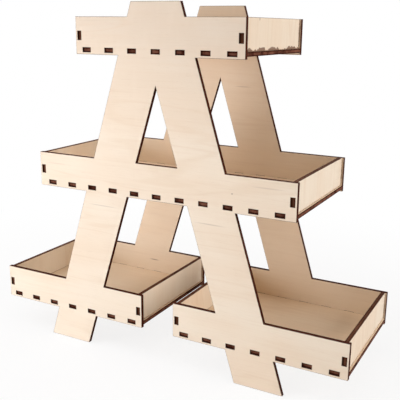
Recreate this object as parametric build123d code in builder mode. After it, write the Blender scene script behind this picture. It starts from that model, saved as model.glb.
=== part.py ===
from build123d import *
import math
import os

# Paint rack organizer: an A-shaped stand with four open trays on three tiers, press-fitted
# from laser-cut plywood. Two identical frames stand at the front and the back, each cut in one
# piece with its two legs and four tray sides. Between them run four tray floors and eight end
# walls, and every one of those is held by tabs that pass through slots.
#
# Millimetres. The origin is at the centre of the footprint, level with the feet.
# +X runs along the trays, +Y from the front frame to the back frame, +Z up.

# Sheet and fit
ply = 3.0  # thickness of the sheet that every piece is cut from
fit_gap = 0.05  # clearance on each side of a tab in its slot

# Frames
overall_depth = 99.0  # outer face of the front frame to outer face of the back frame
crown_width = 38.2  # flat top, where the two legs cross
crown_rise = 9.7  # crown above the top tray's rim
leg_width = 34.5  # square across the leg
leg_lean = 17.3  # degrees between a leg and the vertical

# Tiers
foot_height = 23.8  # feet below the lower trays' sides
tier_spacing = 98.8  # one tier to the next
tray_height = 25.5  # lower edge to rim of a tray's side
floor_rise = 1.6  # underside of a floor above the lower edge of its tray's sides

# Tray lengths along X
top_length = 130.6
middle_length = 206.6
lower_length = 129.2
lower_gap = 26.9  # between the two lower trays

# Tabs
tab_width = 6.7  # along a floor's edge
short_tray_tabs = 7  # along each side of a top or lower tray's floor
long_tray_tabs = 11  # along each side of the middle tray's floor
short_tab_margin = 9.0  # tray's end to the middle of its first tab, top and lower trays
long_tab_margin = 11.1  # the same, middle tray
side_tab_height = 6.0  # tab at each end of an end wall
tab_recess = 1.0  # ends of the tabs, in from the frames' outer faces
end_inset = 1.5  # end wall's outer face, in from the tray's end

# Worked out from the sizes above
inner_depth = overall_depth - 2 * ply
tab_span = overall_depth - 2 * tab_recess  # end to end of a front tab and a back tab
slope = math.tan(math.radians(leg_lean))
leg_span = leg_width / math.cos(math.radians(leg_lean))  # level width of a leg
lower_z = foot_height
middle_z = lower_z + tier_spacing
top_z = middle_z + tier_spacing
overall_height = top_z + tray_height + crown_rise
lower_x = (lower_gap + lower_length) / 2
foot_outer_x = crown_width / 2 + slope * overall_height
wall_height = tray_height - floor_rise - ply

# Each tray: name, middle along X, lower edge, length, tabs a side, first tab's margin
trays = [
    ("top_tray", 0.0, top_z, top_length, short_tray_tabs, short_tab_margin),
    ("middle_tray", 0.0, middle_z, middle_length, long_tray_tabs, long_tab_margin),
    ("lower_left_tray", -lower_x, lower_z, lower_length, short_tray_tabs, short_tab_margin),
    ("lower_right_tray", lower_x, lower_z, lower_length, short_tray_tabs, short_tab_margin),
]


def tab_places(middle_x, length, count, margin):
    """X of each floor tab: evenly spaced from margin at one end to margin at the other."""
    pitch = (length - 2 * margin) / (count - 1)
    first = middle_x - length / 2 + margin
    return [first + pitch * i for i in range(count)]


def wall_places(middle_x, length):
    """X of the middle of the left and right end walls' thickness."""
    reach = length / 2 - end_inset - ply / 2
    return [middle_x - reach, middle_x + reach]


def save(solid, name):
    """Label a finished piece and write its STEP file."""
    solid.label = name
    export_step(solid, f"parts/{name}.step")


def make_frame(name, outer_face):
    """One-piece frame: legs, crown and tray sides, with the slots that take every tab.

    outer_face is the plane that the outline is drawn on; the sheet lies on its +Y side.
    """
    with BuildPart() as frame:
        with BuildSketch(outer_face):
            # Right leg: its outer edge ends at the crown's corner, its inner edge runs on
            # across the middle line until it meets the crown.
            with BuildLine():
                Polyline(
                    (foot_outer_x, 0),
                    (crown_width / 2, overall_height),
                    (crown_width / 2 - leg_span, overall_height),
                    (foot_outer_x - leg_span, 0),
                    close=True,
                )
            make_face()
            mirror(about=Plane.YZ)
            for _, middle_x, z, length, _, _ in trays:
                with Locations((middle_x, z + tray_height / 2)):
                    Rectangle(length, tray_height)
            # Slots for the floors' tabs and for the end walls' side tabs.
            for _, middle_x, z, length, count, margin in trays:
                floor_z = z + floor_rise + ply / 2
                with Locations(*[(x, floor_z) for x in tab_places(middle_x, length, count, margin)]):
                    Rectangle(tab_width + 2 * fit_gap, ply + 2 * fit_gap, mode=Mode.SUBTRACT)
                with Locations(*[(x, z + tray_height / 2) for x in wall_places(middle_x, length)]):
                    Rectangle(ply + 2 * fit_gap, side_tab_height + 2 * fit_gap, mode=Mode.SUBTRACT)
        extrude(amount=-ply)
    save(frame.part, name)


def make_floor(name, middle_x, z, length, count, margin):
    """Tray floor: a plain board with tabs along its front and back edges."""
    with BuildPart() as floor:
        with BuildSketch(Plane.XY.offset(z + floor_rise)):
            with Locations((middle_x, 0)):
                Rectangle(length, inner_depth)
            with Locations(*[(x, 0) for x in tab_places(middle_x, length, count, margin)]):
                Rectangle(tab_width, tab_span)
        extrude(amount=ply)
    save(floor.part, name)


def make_end_wall(name, wall_x, z):
    """End wall: stands on the floor between the frames, with one tab into each."""
    floor_top = z + floor_rise + ply
    with BuildPart() as wall:
        with BuildSketch(Plane.YZ.offset(wall_x - ply / 2)):
            with Locations((0, floor_top + wall_height / 2)):
                Rectangle(inner_depth, wall_height)
            with Locations((0, z + tray_height / 2)):
                Rectangle(tab_span, side_tab_height)
        extrude(amount=ply)
    save(wall.part, name)


os.makedirs("parts", exist_ok=True)

make_frame("front_frame", Plane.XZ.offset(overall_depth / 2))
make_frame("back_frame", Plane.XZ.offset(ply - overall_depth / 2))

for tray, middle_x, z, length, count, margin in trays:
    make_floor(f"{tray}_floor", middle_x, z, length, count, margin)
    for side, wall_x in zip(("left", "right"), wall_places(middle_x, length)):
        make_end_wall(f"{tray}_{side}_end_wall", wall_x, z)
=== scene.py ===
import math

import bpy
import numpy as np
from mathutils import Euler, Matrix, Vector
from mathutils.geometry import tessellate_polygon


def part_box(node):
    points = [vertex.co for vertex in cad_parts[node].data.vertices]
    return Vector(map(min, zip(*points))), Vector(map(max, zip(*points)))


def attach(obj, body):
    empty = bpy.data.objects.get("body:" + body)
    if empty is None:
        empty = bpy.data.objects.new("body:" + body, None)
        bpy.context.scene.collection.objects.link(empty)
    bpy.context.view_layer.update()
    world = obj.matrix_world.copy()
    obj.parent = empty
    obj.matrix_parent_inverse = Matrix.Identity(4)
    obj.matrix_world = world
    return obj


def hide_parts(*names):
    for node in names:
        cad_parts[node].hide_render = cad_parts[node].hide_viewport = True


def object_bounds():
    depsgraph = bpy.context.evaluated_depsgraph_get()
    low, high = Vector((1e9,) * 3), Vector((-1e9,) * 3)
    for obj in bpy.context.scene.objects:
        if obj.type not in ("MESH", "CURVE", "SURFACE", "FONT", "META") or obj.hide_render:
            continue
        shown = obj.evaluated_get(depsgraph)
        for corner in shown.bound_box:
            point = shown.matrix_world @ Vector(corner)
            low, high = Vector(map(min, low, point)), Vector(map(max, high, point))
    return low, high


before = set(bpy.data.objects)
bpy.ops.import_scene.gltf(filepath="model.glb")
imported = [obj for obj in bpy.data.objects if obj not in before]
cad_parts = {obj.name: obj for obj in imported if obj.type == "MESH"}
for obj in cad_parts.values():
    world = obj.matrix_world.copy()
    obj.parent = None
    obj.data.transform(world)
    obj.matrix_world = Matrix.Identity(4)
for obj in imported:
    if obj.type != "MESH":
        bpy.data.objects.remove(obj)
cad_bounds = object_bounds()


# Frames. The front and back frames are each laser-cut in one piece from a 3 mm birch plywood
# sheet: legs, crown and tray sides, with a slot for every tab. The faces stay bare veneer, and
# the beam leaves the cut edges charred. They are pressed onto the tabs, with no screws or glue.

mm = 0.001


class Socket:
    """An output socket of a material. Operators on it add Math nodes; make() adds any other node."""

    def __init__(self, tree, link):
        self.tree = tree
        self.link = link

    def make(self, kind, settings, inputs, output=0):
        """Adds one node: its settings first, then its sockets' values or links, by name or number."""
        node = self.tree.nodes.new(kind)
        for name, value in settings.items():
            setattr(node, name, value)
        for name, value in inputs.items():
            if isinstance(value, Socket):
                self.tree.links.new(value.link, node.inputs[name])
            else:
                node.inputs[name].default_value = value
        return Socket(self.tree, node.outputs[output])

    def maths(self, operation, *values):
        return self.make("ShaderNodeMath", {"operation": operation}, dict(enumerate(values)))

    def __add__(self, other):
        return self.maths("ADD", self, other)

    __radd__ = __add__

    def __mul__(self, other):
        return self.maths("MULTIPLY", self, other)

    __rmul__ = __mul__

    def __sub__(self, other):
        return self.maths("SUBTRACT", self, other)

    def __rsub__(self, other):
        return self.maths("SUBTRACT", other, self)

    def __pow__(self, power):
        return self.maths("POWER", self, power)

    def unsigned(self):
        """This value without its sign."""
        return self.maths("ABSOLUTE", self)

    def sine(self):
        """The sine of this value."""
        return self.maths("SINE", self)

    def step(self, low, high):
        """0 below low and 1 above high, with a smooth rise between them; low may be the higher."""
        ranges = {"interpolation_type": "SMOOTHSTEP"}
        return self.make("ShaderNodeMapRange", ranges, {"Value": self, "From Min": low, "From Max": high})

    def scaled(self, scales):
        """This vector times scales, one for each axis."""
        return self.make("ShaderNodeVectorMath", {"operation": "MULTIPLY"}, {0: self, 1: scales})

    def noise(self, scales, detail=2.0, distortion=0.0):
        """Fractal noise from 0 to 1; scales are its cycles per metre along each axis."""
        inputs = {"Vector": self.scaled(scales), "Scale": 1.0, "Detail": detail, "Distortion": distortion}
        return self.make("ShaderNodeTexNoise", {}, inputs)

    def axis(self, letter):
        """One coordinate of this vector."""
        return self.make("ShaderNodeSeparateXYZ", {}, {0: self}, output="XYZ".index(letter))

    def mixed(self, mask, colour):
        """This colour, turned to another by as much as mask, a value from 0 to 1."""
        inputs = {0: mask, 6: self, 7: colour}
        return self.make("ShaderNodeMix", {"data_type": "RGBA", "clamp_factor": True}, inputs, output=2)


def start_material(name):
    """A new material, its main shader, and a Socket that holds Object coordinates."""
    material = bpy.data.materials.new(name)
    material.use_nodes = True
    tree = material.node_tree
    coordinates = tree.nodes.new("ShaderNodeTexCoord")
    return material, tree.nodes["Principled BSDF"], Socket(tree, coordinates.outputs["Object"])


def finish_material(shader, place, colour, roughness, height, lift, sheen):
    """Links colour, roughness and a bump of the given lift, in metres, and sets how much it reflects."""
    bump = place.make("ShaderNodeBump", {}, {"Height": height, "Distance": lift, "Strength": 1.0})
    for name, value in (("Base Color", colour), ("Roughness", roughness), ("Normal", bump)):
        place.tree.links.new(value.link, shader.inputs[name])
    shader.inputs["Specular IOR Level"].default_value = sheen


# Colours of the bare wood, its darker parts, what the beam leaves, and painted shade.
cream = (0.855, 0.738, 0.595)
tan = (0.720, 0.540, 0.375)
pink = (0.832, 0.684, 0.530)
gold = (0.830, 0.610, 0.390)
painted_shade_brown = (0.560, 0.450, 0.355)
grain_brown = (0.470, 0.300, 0.180)
scorch_and_shade_brown = (0.150, 0.062, 0.028)
char_dark = (0.030, 0.006, 0.003)
contour_waves = 60.0  # how many rings the figure draws over the whole range of its noise
fibre_lift = 0.04 * mm  # height of the fibres on a face
ripple_lift = 0.06 * mm  # height of the beam's ripples on a cut


def veneer(name, grain, across, normal, marks=(), scorch=None, darker_band=None, golden=0.0):
    """Bare birch veneer, with its grain along one axis, another across it and the third through the sheet.

    Fibres are noise drawn out along the grain. The figure is the contour lines of a broad noise.
    marks are knots, stains and patches of painted shade: (place, half size, strength), each an ellipsoid
    with soft sides.
    The burn attribute is 1 at a cut and 0 at the rim's inner side, and darkens the rim.
    scorch is (lower edge, reach), in metres, of tongues of smoke stain that lick up a wall.
    The pair of heights that follows scorch, in metres, is where painted shade begins and where it is full;
    it darkens the sheet towards its top and right.
    golden is how far the whole sheet leans from pale to golden birch, from 0 to 1.
    """
    def scales(along, cross, through):
        sizes = {grain: along, across: cross, normal: through}
        return [sizes[letter] for letter in "XYZ"]

    pale_part = np.array(cream) * (1 - golden) + np.array(gold) * golden
    rosy_part = np.array(pink) * (1 - golden) + np.array(gold) * golden
    material, shader, place = start_material(name)
    broad = place.noise(scales(5, 34, 9), detail=2.0, distortion=0.35)
    contours = ((broad * contour_waves).sine() + 1.0) * 0.5
    cloud = place.noise(scales(9, 26, 11), detail=3.0)
    fibre = place.noise(scales(45, 1500, 300), detail=3.0, distortion=0.1)
    streak = place.noise(scales(14, 330, 120), detail=2.0)
    pore = place.noise(scales(260, 3600, 900), detail=1.0).step(0.66, 0.78)
    curl = place.noise(scales(160, 38, 60), detail=1.0)

    sheet_colours = {0: cloud.step(0.35, 0.65), 6: (*pale_part, 1), 7: (*rosy_part, 1)}
    colour = place.make("ShaderNodeMix", {"data_type": "RGBA"}, sheet_colours, output=2)
    if darker_band:
        # Painted shade: the sheet darkens towards its top and a little towards its right.
        height = place.axis("Z") + place.axis("X") * 0.25 + (broad - 0.5) * 0.05
        colour = colour.mixed(height.step(*darker_band) * 0.42, (*painted_shade_brown, 1))
    colour = colour.mixed(streak.step(0.45, 0.8) * 0.18, (*tan, 1))
    colour = colour.mixed((contours ** 5.0) * broad.step(0.40, 0.60) * 0.26, (*tan, 1))
    colour = colour.mixed(fibre.step(0.52, 0.80) * 0.11, (*grain_brown, 1))
    colour = colour.mixed(pore * 0.14, (*grain_brown, 1))
    colour = colour.mixed(curl.step(0.5, 0.9) * 0.14, (*pale_part, 1))

    # Each mark darkens the sheet; besides knots and stains, some are painted shade in corners.
    for centre, half, strength in marks:
        offset = place.make("ShaderNodeVectorMath", {"operation": "SUBTRACT"},
                            {0: place, 1: [c * mm for c in centre]})
        reach = offset.scaled([1 / (h * mm) for h in half])
        far = reach.make("ShaderNodeVectorMath", {"operation": "LENGTH"}, {0: reach}, output=1)
        soft = (far + (fibre - 0.5) * 0.8).step(1.0, 0.25)
        colour = colour.mixed(soft * strength, (*scorch_and_shade_brown, 1))

    burn = place.make("ShaderNodeAttribute", {"attribute_name": "burn"}, {}, output=2)
    smoke = place.noise([520, 520, 520], detail=2.0)
    colour = colour.mixed((burn ** 2.2) * (smoke + 0.25) * 0.42, (*scorch_and_shade_brown, 1))
    colour = colour.mixed(burn.step(0.80, 1.0) * 0.80, (*char_dark, 1))
    if scorch:
        edge, reach = scorch
        tongue = place.noise([120, 120, 8], detail=1.0, distortion=0.8).step(0.30, 0.66)
        lick = (place.axis("Z") - edge) * (1 / reach) - tongue * 1.6
        colour = colour.mixed(lick.step(-0.10, -0.50) * 0.85, (*scorch_and_shade_brown, 1))

    roughness = 0.56 + fibre * 0.14 + burn * 0.10
    height = fibre * 0.6 + streak * 0.3 - pore * 0.5
    finish_material(shader, place, colour, roughness, height, fibre_lift, 0.30)
    return material


def charred(name, normal, outer, core, gleam):
    """A laser-cut edge: dark outer plies with lighter core plies between two glue lines.

    The depth attribute runs from 0 to 1 through the sheet, and says which ply a point is in.
    The beam's ripples are noise that is fine along the cut and drawn out through the sheet.
    """
    material, shader, place = start_material(name)
    depth = place.make("ShaderNodeAttribute", {"attribute_name": "depth"}, {}, output=2)
    ripple = place.noise([90 if letter == normal else 1700 for letter in "XYZ"], detail=2.0)
    patch = place.noise([110, 110, 110], detail=2.0)
    middle = (depth - 0.5).unsigned()
    inner = middle.step(0.34, 0.24)
    glue = (middle - 0.26).unsigned().step(0.07, 0.02)
    darker_band = middle.step(0.09, 0.03)
    ply_colours = {0: inner * patch.step(0.30, 0.62), 6: (*outer, 1), 7: (*core, 1)}
    colour = place.make("ShaderNodeMix", {"data_type": "RGBA"}, ply_colours, output=2)
    colour = colour.mixed(ripple.step(0.45, 0.75) * 0.45, (*outer, 1))
    colour = colour.mixed(darker_band * 0.45, (*outer, 1))
    colour = colour.mixed(glue * 0.80, (*char_dark, 1))
    colour = colour.mixed(patch.step(0.58, 0.80) * 0.45, (*gleam, 1))
    roughness = 0.70 + ripple * 0.20
    finish_material(shader, place, colour, roughness, ripple + inner * 0.3, ripple_lift, 0.04)
    return material


rim = 0.7 * mm  # smoke-stained border of a face, beside each cut
arris = 0.12 * mm  # corner between face and cut, as the beam rounds it
axes = {"X": (1, 2, 0), "Y": (2, 0, 1), "Z": (0, 1, 2)}  # two axes in the sheet, then the one through it


def outlines(corners, triangles):
    """Closed loops of corner numbers round a flat patch: the triangle edges that no other triangle shares.

    Each loop runs with the sheet on its left, so the outer one turns the other way from a slot's.
    """
    edges = {(int(t[i]), int(t[(i + 1) % 3])) for t in triangles for i in range(3)}
    following = {a: b for a, b in edges if (b, a) not in edges}
    loops = []
    while following:
        loop = [min(following)]
        while loop[-1] in following:
            loop.append(following.pop(loop[-1]))
        loops.append(corners[loop[:-1]])
    return loops


def cut_board(node, normal, face_material, edge_material):
    """Makes the finished board that stands for a CAD node: a profile carried round each cut.

    From a face's inner rim the profile runs out to the cut, over a small arris, down through the
    sheet and back in on the other face. At a corner it moves in along the mitre, which is
    (n1 + n2) / (1 + n1.n2) for the two edges' inward normals. Flat caps close what is left.
    """
    i, j, k = axes[normal]
    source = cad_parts[node].data
    points = np.empty(len(source.vertices) * 3, np.float32)
    source.vertices.foreach_get("co", points)
    source.calc_loop_triangles()
    triangles = np.empty(len(source.loop_triangles) * 3, np.int32)
    source.loop_triangles.foreach_get("vertices", triangles)
    microns = np.round(points.reshape(-1, 3) * 1e6).astype(np.int64)
    places, welded = np.unique(microns, axis=0, return_inverse=True)
    triangles = welded.reshape(-1)[triangles].reshape(-1, 3)
    low, high = places[:, k].min() / 1e6, places[:, k].max() / 1e6
    top = triangles[(places[triangles][:, :, k] == places[:, k].max()).all(axis=1)]

    thick = high - low
    profile = np.array([(rim, 0, 0), (arris, 0, 1), (0, arris, 1),
                        (0, thick - arris, 1), (arris, thick, 1), (rim, thick, 0)])
    ring_count = len(profile)
    vertices, faces, face_slots, burns, depths = [], [], [], [], []
    caps = [[], []]
    start = 0
    for loop in outlines(places[:, [i, j]] / 1e6, top):
        size = len(loop)
        along = np.roll(loop, -1, axis=0) - loop
        along /= np.linalg.norm(along, axis=1)[:, None]
        inward = np.stack([-along[:, 1], along[:, 0]], axis=1)
        before = np.roll(inward, 1, axis=0)
        mitre = (inward + before) / (1 + (inward * before).sum(axis=1))[:, None]
        rings = np.empty((ring_count, size, 3))
        rings[:, :, i] = loop[None, :, 0] + profile[:, :1] * mitre[None, :, 0]
        rings[:, :, j] = loop[None, :, 1] + profile[:, :1] * mitre[None, :, 1]
        rings[:, :, k] = high - profile[:, 1:2]
        vertices.append(rings.reshape(-1, 3))
        burns.append(np.repeat(profile[:, 2], size))
        depths.append(np.repeat(profile[:, 1] / thick, size))
        number = start + np.arange(ring_count * size).reshape(ring_count, size)
        onward = np.roll(number, -1, axis=1)
        quads = np.stack([number[:-1], number[1:], onward[1:], onward[:-1]], axis=-1)
        faces.extend(quads.reshape(-1, 4).tolist())
        face_slots.extend(np.repeat([0, 1, 1, 1, 0], size).tolist())
        caps[0].append(number[0])
        caps[1].append(number[-1])
        start += ring_count * size

    vertices = np.concatenate(vertices)
    for side, cap in enumerate(caps):
        numbers = np.concatenate(cap)
        flat = [[Vector((*vertices[n][[i, j]], 0)) for n in ring] for ring in cap]
        for triangle in tessellate_polygon(flat):
            a, b, c = numbers[list(triangle)]
            faces.append([a, b, c] if side == 0 else [a, c, b])
            face_slots.append(0)

    mesh = bpy.data.meshes.new(f"{node}_board")
    mesh.from_pydata(vertices.tolist(), [], [[int(n) for n in face] for face in faces])
    mesh.polygons.foreach_set("material_index", face_slots)
    for name, values in (("burn", burns), ("depth", depths)):
        mesh.attributes.new(name, "FLOAT", "POINT").data.foreach_set("value", np.concatenate(values))
    mesh.materials.append(face_material)
    mesh.materials.append(edge_material)
    mesh.update()
    board = bpy.data.objects.new(f"{node}_board", mesh)
    bpy.context.scene.collection.objects.link(board)
    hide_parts(node)
    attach(board, "root")
    return board


# Knots and dark growth lines in these two sheets, in millimetres: middle, half size and strength.
outer_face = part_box("front_frame")[0].y / mm
inner_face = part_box("back_frame")[0].y / mm
frame_marks = [
    ((58.3, outer_face, 135.6), (1.1, 2.0, 0.7), 0.60),
    ((-45.0, outer_face, 113.3), (16.0, 2.0, 0.6), 0.22),
    ((42.0, outer_face, 112.3), (15.0, 2.0, 0.6), 0.25),
    ((84.0, outer_face, 142.2), (15.0, 2.0, 0.6), 0.16),
    ((-88.0, outer_face, 140.5), (12.0, 2.0, 0.6), 0.12),
    ((-62.5, inner_face, 39.3), (6.5, 2.0, 0.7), 0.62),
    ((20.0, inner_face, 196.0), (9.0, 2.0, 0.6), 0.25),
]

# Painted shade darkens the back frame's inner face in the strip past each end wall, in the corner beside it.
trays = ("top_tray", "middle_tray", "lower_left_tray", "lower_right_tray")
shade_strip_half, shade_strip_strength = (2.4, 1.0, 17.0), 0.50
for tray in trays:
    for side, out in (("left", 0), ("right", 1)):
        low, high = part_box(f"{tray}_{side}_end_wall")
        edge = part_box(f"{tray}_floor")[out]
        shaded_strip_middle = (edge.x / mm, inner_face, (low.z + high.z) / 2 / mm)
        frame_marks.append((shaded_strip_middle, shade_strip_half, shade_strip_strength))
# Painted shade darkens the frames over their top 100 mm, a little more to the right.
crown_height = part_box("front_frame")[1].z
darker_from = (crown_height - 100 * mm, crown_height)
frame_veneer = veneer("frame_veneer", "X", "Z", "Y", frame_marks, darker_band=darker_from)
frame_char = charred("frame_char", "Y", (0.046, 0.009, 0.004), (0.072, 0.017, 0.007), (0.115, 0.034, 0.015))
# The back frame leans golden: partly its own tone, partly painted shade and warm bounce light on its inner
# face behind the front frame.
shaded_back_veneer = veneer("back_frame_shaded_veneer", "X", "Z", "Y", frame_marks, darker_band=darker_from, golden=0.35)
cut_board("front_frame", "Y", frame_veneer, frame_char)
cut_board("back_frame", "Y", shaded_back_veneer, frame_char)


# Tray floors. Four boards of the same plywood, each with tabs along both long edges that enter
# the frames' slots and stop 1 mm short of their outer faces. Their charred ends are the rows of
# dark marks along the trays, where the core plies show as paler lines.

floor_veneer = veneer("floor_veneer", "X", "Y", "Z", golden=0.40)
floor_char = charred("floor_char", "Z", (0.040, 0.008, 0.003), (0.235, 0.090, 0.055), (0.270, 0.120, 0.078))
for tray in trays:
    cut_board(f"{tray}_floor", "Z", floor_veneer, floor_char)


# End walls. Eight short boards that stand on the floors between the frames, with one tab into
# each frame. Their grain is upright. The top tray's pair has smoke stains along the lower edge,
# where the beam's fumes licked the veneer.

wall_char = charred("wall_char", "X", (0.080, 0.027, 0.012), (0.150, 0.060, 0.034), (0.180, 0.080, 0.048))
stain_reach = 1.7 * mm
top_wall_marks = [
    ((64.0, -25.7, 246.0), (2.0, 1.0, 1.6), 0.55),
    ((64.0, 45.9, 236.0), (2.0, 0.8, 12.0), 0.75),
]
for tray in trays:
    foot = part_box(f"{tray}_left_end_wall")[0].z
    stained = (foot, stain_reach) if tray == "top_tray" else None
    wall_veneer = veneer(f"{tray}_wall_veneer", "Z", "Y", "X", top_wall_marks if stained else (), stained)
    for side in ("left", "right"):
        cut_board(f"{tray}_{side}_end_wall", "X", wall_veneer, wall_char)


# Floor. A plain pale sweep that the rack stands on. It keeps the rack's soft shadow near the
# feet, and clears to the white of the room further off.

sweep_size = 12.0
sweep_height = cad_bounds[0][2] - 0.2 * mm
clear_from, clear_to = 0.10, 0.45  # how far from the rack's middle the shadow fades away
shadow_share = 0.16  # how much of the floor's own light shows near the feet
corner = sweep_size / 2


def plainly_seen(place):
    """1 where a surface is seen, straight on, in a gloss or through glass; 0 where it only lights others."""
    straight = place.make("ShaderNodeLightPath", {}, {}, output="Is Camera Ray")
    in_gloss = place.make("ShaderNodeLightPath", {}, {}, output="Is Glossy Ray")
    through_glass = place.make("ShaderNodeLightPath", {}, {}, output="Is Transmission Ray")
    return place.maths("MAXIMUM", place.maths("MAXIMUM", straight, in_gloss), through_glass)


sweep_mesh = bpy.data.meshes.new("sweep")
sweep_mesh.from_pydata([(-corner, -corner, sweep_height), (corner, -corner, sweep_height),
                        (corner, corner, sweep_height), (-corner, corner, sweep_height)], [], [(0, 1, 2, 3)])
sweep = bpy.data.objects.new("sweep", sweep_mesh)
bpy.context.scene.collection.objects.link(sweep)
sweep_material, sweep_shader, sweep_place = start_material("sweep_white")
sweep_shader.inputs["Base Color"].default_value = (0.90, 0.90, 0.90, 1)
sweep_shader.inputs["Roughness"].default_value = 0.9
sweep_shader.inputs["Specular IOR Level"].default_value = 0.0
white = sweep_place.make("ShaderNodeEmission", {}, {"Color": (1, 1, 1, 1), "Strength": 1.0})
far = sweep_place.make("ShaderNodeVectorMath", {"operation": "LENGTH"}, {0: sweep_place}, output=1)
cleared = 1 - shadow_share + far.step(clear_from, clear_to) * shadow_share
shown = sweep_place.make("ShaderNodeMixShader", {}, {
    0: plainly_seen(sweep_place) * cleared,
    1: Socket(sweep_place.tree, sweep_shader.outputs[0]),
    2: white,
})
sweep_place.tree.links.new(shown.link, sweep_place.tree.nodes["Material Output"].inputs["Surface"])
sweep_mesh.materials.append(sweep_material)


# Light. Soft square lamps, low and high at the front left, at the right, overhead and behind, in
# a room that is white where it is seen. Each has a name, place, width, power and colour.

world = bpy.data.worlds.new("room")
bpy.context.scene.world = world
world.use_nodes = True
room = Socket(world.node_tree, world.node_tree.nodes["Background"].outputs[0])
world.node_tree.nodes["Background"].inputs["Color"].default_value = (1, 0.74, 0.50, 1)
world.node_tree.nodes["Background"].inputs["Strength"].default_value = 0.09
room_white = room.make("ShaderNodeBackground", {}, {"Color": (1, 1, 1, 1), "Strength": 1.0})
room_shown = room.make("ShaderNodeMixShader", {}, {0: plainly_seen(room), 1: room, 2: room_white})
room.tree.links.new(room_shown.link, room.tree.nodes["World Output"].inputs["Surface"])

rack_middle = (Vector(cad_bounds[0]) + Vector(cad_bounds[1])) / 2
lamps = [
    ("low_left_lamp", (-0.55, -0.55, 0.10), 0.5, 6.0, (0.970, 0.995, 1.060)),
    ("upper_left_lamp", (-0.80, -0.50, 1.15), 0.9, 7.2, (0.99, 0.99, 1.02)),
    ("right_lamp", (1.20, 0.20, 0.50), 0.9, 10.2, (1.0, 0.990, 0.990)),
    ("upper_lamp", (0.15, -0.45, 1.45), 0.9, 5.3, (1.0, 0.985, 0.970)),
    ("rear_lamp", (-0.50, 1.50, 0.60), 0.9, 6.0, (1.0, 0.98, 0.96)),
]
for name, place, width, watts, colour in lamps:
    lamp = bpy.data.objects.new(name, bpy.data.lights.new(name, "AREA"))
    lamp.data.size = width
    lamp.data.energy = watts
    lamp.data.color = colour
    lamp.location = place
    lamp.rotation_euler = (rack_middle - Vector(place)).to_track_quat("-Z", "Y").to_euler()
    bpy.context.scene.collection.objects.link(lamp)


# Camera. It stands to the right of the rack's middle, level with the top tray, and looks a
# little down.

camera = bpy.data.objects.new("camera", bpy.data.cameras.new("camera"))
bpy.context.scene.collection.objects.link(camera)
camera.location = (0.24020, -0.43060, 0.24052)
camera_pitch, camera_roll, camera_heading = -14.52, 0.60, 28.34
level = Euler((math.radians(90 + camera_pitch), 0, math.radians(camera_heading))).to_matrix()
roll = Euler((0, 0, math.radians(camera_roll))).to_matrix()
camera.rotation_euler = (level @ roll).to_euler()
camera.data.lens = 60.06
camera.data.sensor_width = 36.0
camera.data.clip_start = 0.01
bpy.context.scene.camera = camera
bpy.context.scene.view_settings.view_transform = "Standard"
